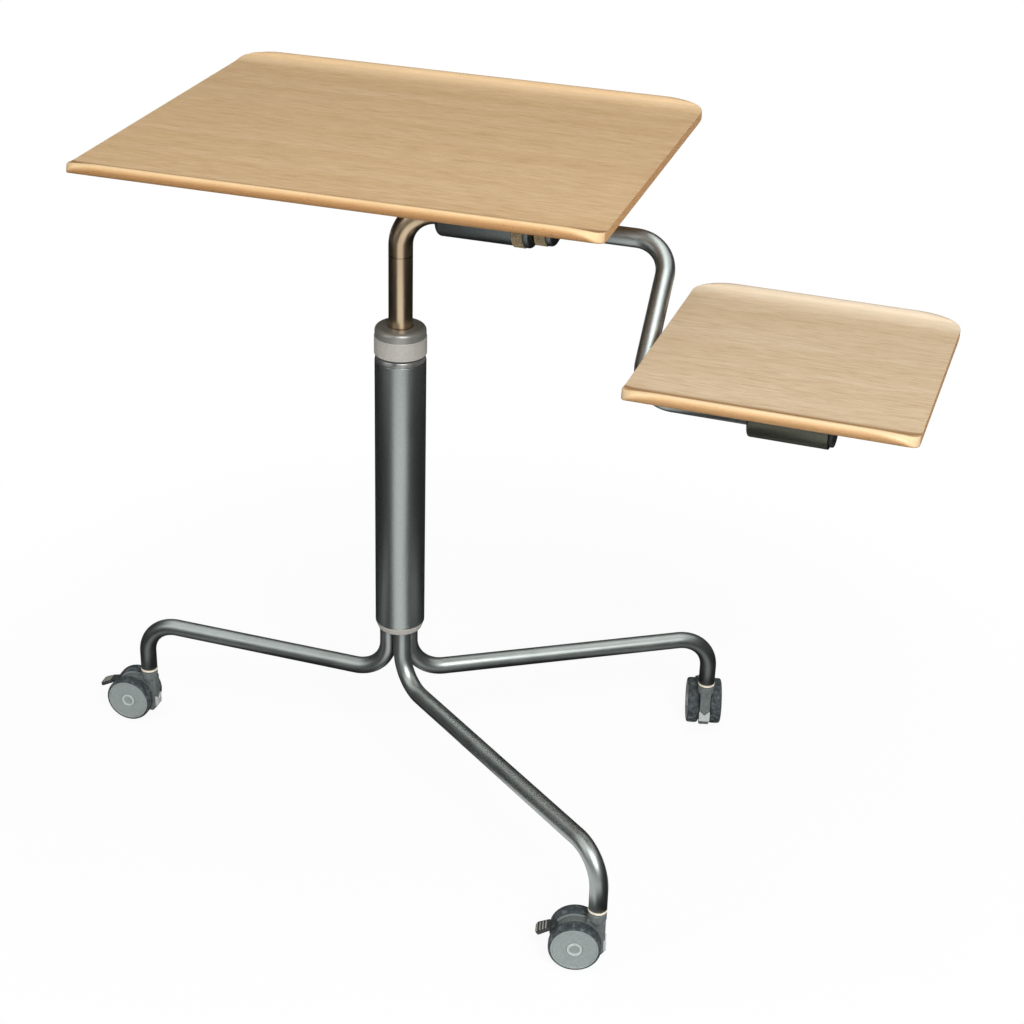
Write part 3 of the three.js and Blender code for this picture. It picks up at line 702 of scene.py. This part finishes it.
for name, slot, body, node, profile in turned_pieces:
    turned_piece(name, slot, body, node, profile, ORIGIN, UP, 96, looks.get(name))

# %% The collar's shoulder has a finish of its own
SHOULDER = 0.5421
collar = bpy.data.objects["clamp_collar_ring"].data
collar.materials.append(finishes["collar_shoulder"])
heights = np.array([face.center.z for face in collar.polygons])
collar.polygons.foreach_set("material_index", (heights > SHOULDER).astype(np.int32))
print("column pieces:", [piece[0] for piece in turned_pieces])

# %% [markdown]
# ## Sleeve and nuts
# On the level end of the mast sit the sleeve that carries the tray, a knurled nut with a domed
# cap that clamps it, and a smaller nut and cap that clamp the arm.

# %% Turned pieces on the level axis
# Each piece: name, slot, body, node, corners of (radius, way along the axis), their roundings.
level_pieces = [
    ("tray_sleeve_tube", "dark_sleeve", "tray", "tray_sleeve",
     [(12.95, 42.0), (23.3, 42.0), (23.3, 122.0), (12.95, 122.0)], [0, 6.0, 0.8, 0]),
    ("tilt_cap_dome", "dark_sleeve", "tilt_knob", "tilt_cap",
     [(12.95, 134.0), (23.9, 134.0), (23.9, 140.2), (14.3, 144.0), (12.95, 144.0)],
     [0, 0.6, 5.0, 0.8, 0]),
    ("arm_cap_dome", "dark_sleeve", "arm_knob", "arm_cap",
     [(9.93, 156.0), (19.2, 156.0), (19.2, 162.2), (11.5, 166.0), (9.93, 166.0)],
     [0, 0.6, 5.0, 0.8, 0]),
]
for name, slot, body, node, corners, radii in level_pieces:
    profile = rounded(corners, radii, 8, closed=True)
    turned_piece(name, slot, body, node, profile, (0, 0, AXIS), RIGHT, 72)
print("on the level axis:", [piece[0] for piece in level_pieces])

# %% [markdown]
# The knurl is pressed into the nuts by two wheels whose grooves cross, which leaves rows of
# small diamonds. Their height is the smaller of two ridged waves that wind round the nut in
# opposite directions, and it fades out at both rims.


# %% Knurled nuts
def knurled_nut(name, radius, hole, start, length, teeth, depth=1.0, chamfer=0.7):
    """A ring whose rim has crossed ridges.

    With waves a = |sin(teeth * angle / 2 + k * x)| and b the same with -k, the rim's radius is
    radius - depth * (1 - min(a, b))."""
    x = np.concatenate([[0.0], np.linspace(0.5, length - 0.5, 26), [length]])
    angle = np.linspace(0, 2 * np.pi, teeth * 8, endpoint=False)
    along, round_ = np.meshgrid(x, angle, indexing="ij")
    lead = teeth / (2 * radius)
    ridge = np.minimum(np.abs(np.sin(teeth / 2 * round_ + lead * along)),
                       np.abs(np.sin(teeth / 2 * round_ - lead * along)))
    fade = np.clip(np.minimum(along - 0.6, length - 0.6 - along) / 0.8, 0, 1)
    rim = radius - 0.05 - depth * (1 - ridge) * fade
    rim[[0, -1]] = radius - chamfer
    bore = np.full((2, len(angle)), hole)
    reach = np.vstack([rim, bore])
    place = np.vstack([along, np.full(len(angle), length), np.zeros(len(angle))])
    turn = np.vstack([round_, angle, angle])
    points = np.stack([start + place, reach * np.cos(turn), AXIS + reach * np.sin(turn)], axis=-1)
    faces = grid_faces(*reach.shape, True, True)
    return add_piece(name, in_scene(points.reshape(-1, 3)), faces, 35.0)


tilt_nut = knurled_nut("tilt_nut_knurl", radius=24.7, hole=12.95, start=122.3, length=11.4, teeth=46)
finish(tilt_nut, "knurled_brass", "tilt_knob", "tilt_nut")
arm_nut = knurled_nut("arm_nut_knurl", radius=20.0, hole=12.95, start=144.3, length=11.4, teeth=38)
finish(arm_nut, "knurled_brass", "arm_knob", "arm_nut")
print("knurls:", len(tilt_nut.data.polygons), "and", len(arm_nut.data.polygons), "faces")

# %% [markdown]
# The small tray has a sleeve of its own, turned about the end of the arm, with a black cap.

# %% The small sleeve at the end of the arm
start = SMALL_REACH - SMALL_SLEEVE / 2
end = start + SMALL_SLEEVE
small_parts = [
    ("side_sleeve_tube", "pale_sleeve", "small_sleeve",
     rounded([(9.95, start), (20.0, start), (20.0, end), (9.95, end)], [0, 2.5, 0.8, 0], 7,
             closed=True)),
    ("side_sleeve_end", "black_plastic", "small_sleeve_cap",
     rounded([(0.0, end + 0.3), (17.5, end + 0.3), (17.5, end + 4.5), (0.0, end + 4.5)],
             [0, 0.3, 1.6, 0], 7)),
]
for name, slot, node, profile in small_parts:
    turned_piece(name, slot, "side_tray", node, profile, SMALL_AXIS, SMALL_WAY, 72)
print("at the arm's end:", [part[0] for part in small_parts])

# %% [markdown]
# ## Casters
# Each caster is a grey web on a short boss, with a wheel on either side: a grey disc with a
# raised ring, and a dark tread round it. A ribbed brake pedal stands out past the wheels, and a
# small notched box closes the web's other side. They are drawn once, with x along the trail, y
# along the axle and the swivel axis at the origin, and each caster turns that drawing its way.

# %% Rounded plates
WHEEL = 27.0  # radius, and so the height of the axle
TRAIL = 21.0  # from the swivel axis to the axle


def plate(outline, half, edge, centre):
    """A flat plate with rounded rims: the outline scaled from its centre across the thickness.

    The section starts at the centre of one face, runs out to the rim, round it in two quarter
    circles of the edge radius, and back to the centre of the other face."""
    centre = np.asarray(centre, float)
    arms = outline - centre
    length = np.linalg.norm(arms, axis=1)
    quarter = np.linspace(0, np.pi / 2, 5)
    inset = np.concatenate([edge * (1 - np.sin(quarter)), edge * (1 - np.cos(quarter))])
    height = np.concatenate([half - edge * (1 - np.cos(quarter)), -half + edge * (1 - np.sin(quarter))])
    shrink = 1 - inset[None] / length[:, None]
    rim = centre + shrink[:, :, None] * arms[:, None]
    lift = np.broadcast_to(height, rim.shape[:2])
    poles = np.broadcast_to(centre, (len(outline), 1, 2))
    flat = np.concatenate([poles, rim, poles], axis=1)
    face = np.full((len(outline), 1), half)
    lifts = np.concatenate([face, lift, -face], axis=1)
    points = np.concatenate([flat, lifts[:, :, None]], axis=2)
    return points.reshape(-1, 3), grid_faces(*lifts.shape, True, False)


# %% The web with its boss, and the notched box
turn = np.radians(np.linspace(-125, 112, 40))
arc = np.stack([TRAIL + 23.0 * np.cos(turn), WHEEL + 23.0 * np.sin(turn)], axis=-1)
fork = rounded([(-9.0, 55.0), (-9.0, 15.0), (-4.0, 9.0)], [0, 5.0, 0], 7)
web_outline = np.vstack([fork, arc, [(9.0, 55.0)]])
points, faces = plate(web_outline, 6.0, 1.2, (12.0, 30.0))
web = (points[:, [0, 2, 1]], faces)
boss = turned(rounded([(0.0, 44.0), (6.0, 44.0), (6.0, 46.0), (9.5, 54.0), (9.5, 62.0), (0.0, 62.0)],
                      [0, 0, 3.0, 3.0, 1.2, 0], 7), ORIGIN, UP, 48, False)
housing_shape = stacked(web, boss)
notch = rounded([(-6.4, 16.5), (6.4, 16.5), (6.4, 30.5), (0.0, 24.5), (-6.4, 30.5)],
                [1.0, 1.0, 0.8, 0.6, 0.8], 4, closed=True)
points, faces = plate(notch, 1.4, 0.6, (0.0, 20.5))
tail_shape = moved((points[:, [2, 0, 1]], faces), (-8.9, 0.0, 0.0))
print("web", len(housing_shape[1]), "faces, notched box", len(faces))

# %% Profiles of a wheel: the disc with its raised ring, and the crowned tread
RAISED_RING = (5.4, 7.8)
RING_FACE = 19.2
hub_profile = rounded([(0.0, 7.2), (24.4, 7.2), (24.4, 20.2), (22.7, 20.2), (22.2, 19.3), (8.6, 19.3),
                       (8.2, 18.6), (7.8, 18.6), (7.5, 20.3), (5.7, 20.3), (5.3, 18.8), (0.0, 18.8)],
                      [0, 0.4, 0.7, 0.3, 0.3, 0.2, 0.1, 0.1, 0.4, 0.4, 0.2, 0], 6)
crown = np.linspace(-1, 1, 23)
tyre_crown = np.stack([25.0 + 2.0 * (1 - crown**4) ** 0.5, 13.25 + 6.65 * crown], axis=-1)
tyre_profile = np.vstack([[(24.7, 6.6)], tyre_crown, [(24.7, 19.9)]])

# %% [markdown]
# The pedal is a small paddle that slopes down and outwards from its pivot. Its four
# ribs are worn pale, so they are a piece of their own with a lighter finish.

# %% The brake pedal
PIVOT = np.array([TRAIL + 0.82 * WHEEL, 0.0, 1.5 * WHEEL])
SLOPE = np.radians(25)
paddle_outline = rounded([(3.0, -7.5), (17.0, -9.0), (19.0, -5.0), (19.0, 5.0), (17.0, 9.0), (3.0, 7.5)],
                         [1.0, 2.5, 3.0, 3.0, 2.5, 1.0], 6, closed=True)
paddle = moved(plate(paddle_outline, 1.7, 0.9, (11.0, 0.0)), (0, 0, 1.7))
neck_outline = rounded([(-1.5, -5.0), (7.0, -5.0), (7.0, 5.0), (-1.5, 5.0)], 0.8, closed=True)
neck = moved(plate(neck_outline, 1.5, 0.5, (3, 0)), (0, 0, 1.4))
barrel_profile = rounded([(0.0, -5.7), (3.5, -5.7), (3.5, 5.7), (0.0, 5.7)], [0, 0.5, 0.5, 0])
barrel = turned(barrel_profile, ORIGIN, BACK, 32, False)
bar = rounded([(-0.65, -6.2), (0.65, -6.2), (0.65, 6.2), (-0.65, 6.2)], 0.5, 5, closed=True)
rib = plate(bar, 0.9, 0.4, (0, 0))
ribs = [moved(rib, (7.0 + step * 10.0 / 3, 0, 3.3)) for step in range(4)]


def sloped(grid):
    """Pedal coordinates to caster coordinates: sloped down outwards, then moved to the pivot."""
    x, y, z = grid[0].T
    points = np.stack([x * np.cos(SLOPE) + z * np.sin(SLOPE), y,
                       z * np.cos(SLOPE) - x * np.sin(SLOPE)], axis=-1)
    return PIVOT + points, grid[1]


pedal_shape = sloped(stacked(paddle, neck, barrel))
rib_shape = sloped(stacked(*ribs))
print("pedal", len(pedal_shape[1]), "faces, ribs", len(rib_shape[1]))

# %% [markdown]
# The raised ring of a disc is painted paler than the rest, a painted highlight. Its faces are found by their
# place.


# %% The painted highlight on a disc's raised ring
def paint_ring_highlight(disc, hub, axle):
    """Gives the pale finish, a painted highlight, to faces far out along the axle and between two distances
    from it.
    """
    disc.data.materials.append(finishes["caster_pale_and_highlight"])
    spots = np.array([face.center for face in disc.data.polygons]) - hub
    depth = spots @ axle
    reach = np.linalg.norm(spots - depth[:, None] * axle, axis=1)
    nearest, farthest = np.array(RAISED_RING) * 0.001
    # The faces of the raised ring take the pale finish as a painted highlight.
    worn = (depth > RING_FACE * 0.001) & (reach > nearest) & (reach < farthest)
    disc.data.polygons.foreach_set("material_index", worn.astype(np.int32))


# %% The ivory ring at the end of a leg
ring_profile = rounded([(4.5, RING_BOTTOM), (7.4, RING_BOTTOM), (7.4, RING_BOTTOM + 1.4),
                        (9.8, RING_BOTTOM + 1.4), (9.8, RING_TOP), (7.0, RING_TOP), (7.0, 79.0),
                        (4.5, 79.0)], [0, 0, 0, 0.7, 0.7, 0, 0, 0], 6, closed=True)

# %% Three casters, each turned its own way
trails = {"left": 182.0, "right": 105.0, "front": 193.0}
for side, trail in trails.items():
    way = np.radians(trail)
    spin = np.array([[np.cos(way), -np.sin(way), 0], [np.sin(way), np.cos(way), 0], [0, 0, 1]])
    foot = np.array([*feet[side], 0.0])
    caster = f"caster_{side}"

    def placed(name, shape, sharp):
        """A piece from a drawn shape, turned to the trail and moved under the leg."""
        points, faces = shape
        return add_piece(name, in_scene(points @ spin.T + foot), faces, sharp)

    brake = f"{caster}_brake"
    for name, shape, slot, body, nodes, look in (
            ("web", housing_shape, "caster_grey", caster, [f"{caster}_housing"], "caster_body"),
            ("tail", tail_shape, "caster_grey", caster, [], "caster_pale_and_highlight"),
            ("paddle", pedal_shape, "black_plastic", brake, [f"{caster}_pedal"], None),
            ("ribs", rib_shape, "black_plastic", brake, [], "pedal_rib")):
        finish(placed(f"{caster}_{name}", shape, 45.0), slot, body, *nodes, look=look)
    for hand, sign in (("a", 1.0), ("b", -1.0)):
        wheel = f"{caster}_wheel_{hand}"
        hub, axle = np.array([TRAIL, 0, WHEEL]), np.array([0, sign, 0])
        disc = placed(f"{wheel}_disc", turned(hub_profile, hub, axle, 72, False), 40.0)
        finish(disc, "caster_grey", wheel, f"{caster}_hub_{hand}")
        paint_ring_highlight(disc, in_scene(spin @ hub + foot), spin @ axle)
        tyre = placed(f"{wheel}_tread", turned(tyre_profile, hub, axle, 72), 50.0)
        finish(tyre, "caster_tyre", wheel, f"{caster}_tyre_{hand}")
    ring = placed(f"leg_end_ring_{side}", turned(ring_profile, ORIGIN, UP, 48), 50.0)
    finish(ring, "ivory_ring", "base", f"leg_ring_{side}")
print("casters:", list(trails))

# %% [markdown]
# The brackets, screws, stems and bushes that hardly show keep their solids, with the finish of
# the slot that the record gives each of them.

# %% Finishes for the solids that stay
for part in frame["record"]["subparts"]:
    node = frame["nodes"][part["node"]]
    node.data.materials.clear()
    node.data.materials.append(finishes[part["material_slot"]])

# %% [markdown]
# ## Studio
# The floor and the world behind it are white, and the lamps are large and soft, as for a catalogue
# picture. Near the table a little of the lit floor shows with its shadow; the rest of what the
# camera and mirrors see there is plain white.


# %% Pieces of the stage
QUAD = [(0, 1, 2, 3)]


def stage_piece(name, corners, faces, material):
    """A flat stage piece from its corners and faces."""
    mesh = bpy.data.meshes.new(name)
    mesh.from_pydata(corners, [], faces)
    mesh.materials.append(material)
    piece = bpy.data.objects.new(name, mesh)
    scene.collection.objects.link(piece)
    return piece


def seen_directly(tree):
    """1 for rays from the camera, from a mirror or through glass, else 0."""
    ray = node_of(tree, "LightPath")
    value = ray.outputs["Is Camera Ray"]
    for kind in ("Is Glossy Ray", "Is Transmission Ray"):
        value = math_of(tree, "MAXIMUM", value, ray.outputs[kind])
    return value


# %% The white floor
paper, tree, shader, place = blank_finish("white paper floor", 0.0, 0.0)
whites = tones_of(tree, noise_of(tree, place, 2.0), (0.93, 0.93, 0.93, 1), (0.95, 0.95, 0.95, 1))
feed(tree, shader, {"Base Color": whites, "Roughness": 1.0})
away = node_of(tree, "VectorMath", {0: place})
away.operation = "LENGTH"
fade = node_of(tree, "MapRange", {
    "Value": away.outputs["Value"], "From Min": 0.45, "From Max": 1.0, "To Min": 0.92})
fade.interpolation_type = "SMOOTHSTEP"
share = math_of(tree, "MULTIPLY", seen_directly(tree), fade.outputs["Result"])
glow = node_of(tree, "Emission")
blend = node_of(tree, "MixShader", {
    "Fac": share, 1: shader.outputs["BSDF"], 2: glow.outputs["Emission"]})
feed(tree, tree.nodes["Material Output"], {"Surface": blend.outputs["Shader"]})
floor = stage_piece("floor", [(-9, -9, 0), (9, -9, 0), (9, 9, 0), (-9, 9, 0)], QUAD, paper)
print(floor.name, "is", floor.dimensions.x, "m wide")

# %% [markdown]
# The dark edges of the tubes come from dark panels that stand round the table and lie on the floor
# beside it, and greys on two legs from grey cards that glow faintly though they are no lamps, so the
# greys are painted reflections: only reflections see them. A gap to the front right stays open, and
# the column mirrors the white floor there as its broad highlight.

# %% The tones of the panels and cards
panel, tree, shader, place = blank_finish("dark studio panel", 0.0, 0.0)
darks = tones_of(tree, noise_of(tree, place, 1.0), (0.012, 0.013, 0.013, 1), (0.022, 0.023, 0.023, 1))
feed(tree, shader, {"Base Color": darks, "Roughness": 1.0})
# The cards glow with a faint grey: painted reflections on two legs, seen by no other rays.
glow_card, tree, shader, place = blank_finish("grey studio card", 0.0, 0.0)
greys = tones_of(tree, noise_of(tree, place, 1.0), (0.33, 0.33, 0.33, 1), (0.37, 0.37, 0.37, 1))
feed(tree, shader, {"Emission Color": greys, "Emission Strength": 1.0, "Base Color": (0, 0, 0, 1)})


# %% Panels and cards that only reflections see
def wall(name, start, end, height, material):
    """An upright four-sided piece from the floor to a height, above the line between two points."""
    corners = [(*start, 0), (*end, 0), (*end, height), (*start, height)]
    return stage_piece(name, corners, QUAD, material)


def floor_wedge(name, start, end, inner, outer, height, material):
    """Part of a ring on the floor about the column, between two angles and two reaches."""
    angles = np.radians(np.linspace(start, end, 40))
    rim = np.stack([np.cos(angles), np.sin(angles)], axis=-1)
    corners = [(*(column[:2] + reach * way), height) for way in rim for reach in (inner, outer)]
    strips = [(2 * i, 2 * i + 1, 2 * i + 3, 2 * i + 2) for i in range(len(angles) - 1)]
    return stage_piece(name, corners, strips, material)


def spread(name, corners, height, material):
    """A level four-sided piece at a height; its corners are measured from the column."""
    places = [(*(column[:2] + np.array(corner)), height) for corner in corners]
    return stage_piece(name, places, QUAD, material)


LOW, LOWER = 0.001, 0.0006  # two heights just above the floor, so that pieces can overlap
panels = [
    wall("panel_back", (-5, 3.2), (5, 3.2), 4, panel),
    wall("panel_left", (-3.3, -4.5), (-3.3, 3.2), 3.2, panel),
    wall("panel_right", (3.6, -4.5), (3.6, 3.2), 3.2, panel),
    wall("panel_front", (-5, -4.5), (5, -4.5), 3.4, panel),
    floor_wedge("panel_floor", -42, 258, 0.02, 3.1, LOWER, panel),
    floor_wedge("panel_floor_near", -102, -42, 0.02, 0.12, LOWER, panel),
    spread("panel_front_leg", [(0.26, -0.41), (0.44, -0.41), (0.42, -0.28), (0.28, -0.28)], LOW, panel),
    spread("panel_small_arm", [(0.28, -0.45), (0.44, -0.45), (0.40, -0.12), (0.28, -0.12)], 0.40, panel),
    spread("card_left_leg", [(-0.40, -0.32), (-0.20, -0.32), (-0.24, -0.06), (-0.36, -0.06)], LOW, glow_card),
    spread("card_right_leg", [(0.26, -0.14), (0.46, -0.14), (0.42, 0.14), (0.29, 0.14)], LOW, glow_card),
]
for piece in panels:
    piece.visible_camera = piece.visible_diffuse = False
    piece.visible_shadow = piece.visible_transmission = False
print("seen by reflections only:", [piece.name for piece in panels])

# %% [markdown]
# The world is white where the camera, a mirror or glass sees it, and weaker as light on the table.
# Three large lamps do the rest: a key from the front right, one overhead and a weak fill.

# %% World: white behind everything, soft light from all round
world = bpy.data.worlds.new("white studio")
scene.world = world
world.use_nodes = True
tree = world.node_tree
WHITE = (1.0, 1.0, 1.0, 1.0)
soft = feed(tree, tree.nodes["Background"], {"Color": WHITE, "Strength": 0.32})
white = node_of(tree, "Background", {"Color": WHITE, "Strength": 1.0})
mix = node_of(tree, "MixShader", {
    "Fac": seen_directly(tree), 1: soft.outputs["Background"], 2: white.outputs["Background"]})
feed(tree, tree.nodes["World Output"], {"Surface": mix.outputs["Shader"]})
print("world:", world.name)


# %% Lamps
def put(piece, first, second, third, place):
    """Links a lamp or camera; its three axes and its place are the columns of its matrix."""
    matrix = np.eye(4)
    matrix[:3] = np.stack([first, second, third, place], axis=1)
    piece.matrix_world = matrix.T.tolist()
    scene.collection.objects.link(piece)


def soft_lamp(name, place, aim, size, power):
    """A square lamp at a place, turned to look at a point."""
    lamp = bpy.data.lights.new(name, "AREA")
    lamp.size, lamp.energy = size, power
    back = np.asarray(place, float) - np.asarray(aim, float)
    put(bpy.data.objects.new(name, lamp), *across(back), unit(back), place)
    print("lamp", name, power, "W")


soft_lamp("key", (1.15, -1.95, 2.15), (0.0, 0.0, 0.5), size=1.3, power=68)
soft_lamp("overhead", (0.0, 0.2, 3.0), (0.0, 0.0, 0.5), size=2.2, power=14)
soft_lamp("fill", (-2.0, -2.2, 1.6), (0.0, 0.0, 0.4), size=1.6, power=12)

# %% [markdown]
# The camera's place was found by fitting the projected tubes, trays and casters to the
# photograph: a long lens, about two and a half metres off, looking down by 28 degrees and
# rolled by less than two.

# %% Camera
azimuth, tilt, roll = np.radians([16.41, 28.03, 1.80])
forward = np.array([-np.sin(azimuth) * np.cos(tilt), np.cos(azimuth) * np.cos(tilt), -np.sin(tilt)])
level = np.array([np.cos(azimuth), np.sin(azimuth), 0.0])
upward = np.cross(level, forward)
right = np.cos(roll) * level + np.sin(roll) * upward
up = np.cos(roll) * upward - np.sin(roll) * level
SENSOR = 36.0
FOCAL_PIXELS, PICTURE_PIXELS = 2013.14, 1024
lens = bpy.data.cameras.new("picture_camera")
lens.sensor_width = SENSOR
lens.lens = SENSOR * FOCAL_PIXELS / PICTURE_PIXELS
camera = bpy.data.objects.new("picture_camera", lens)
put(camera, right, up, -forward, in_scene((657.05, -1804.11, 1359.40)))
bpy.context.scene.camera = camera
scene.view_settings.view_transform = "Standard"
print("camera with a lens of", round(lens.lens, 1), "mm")
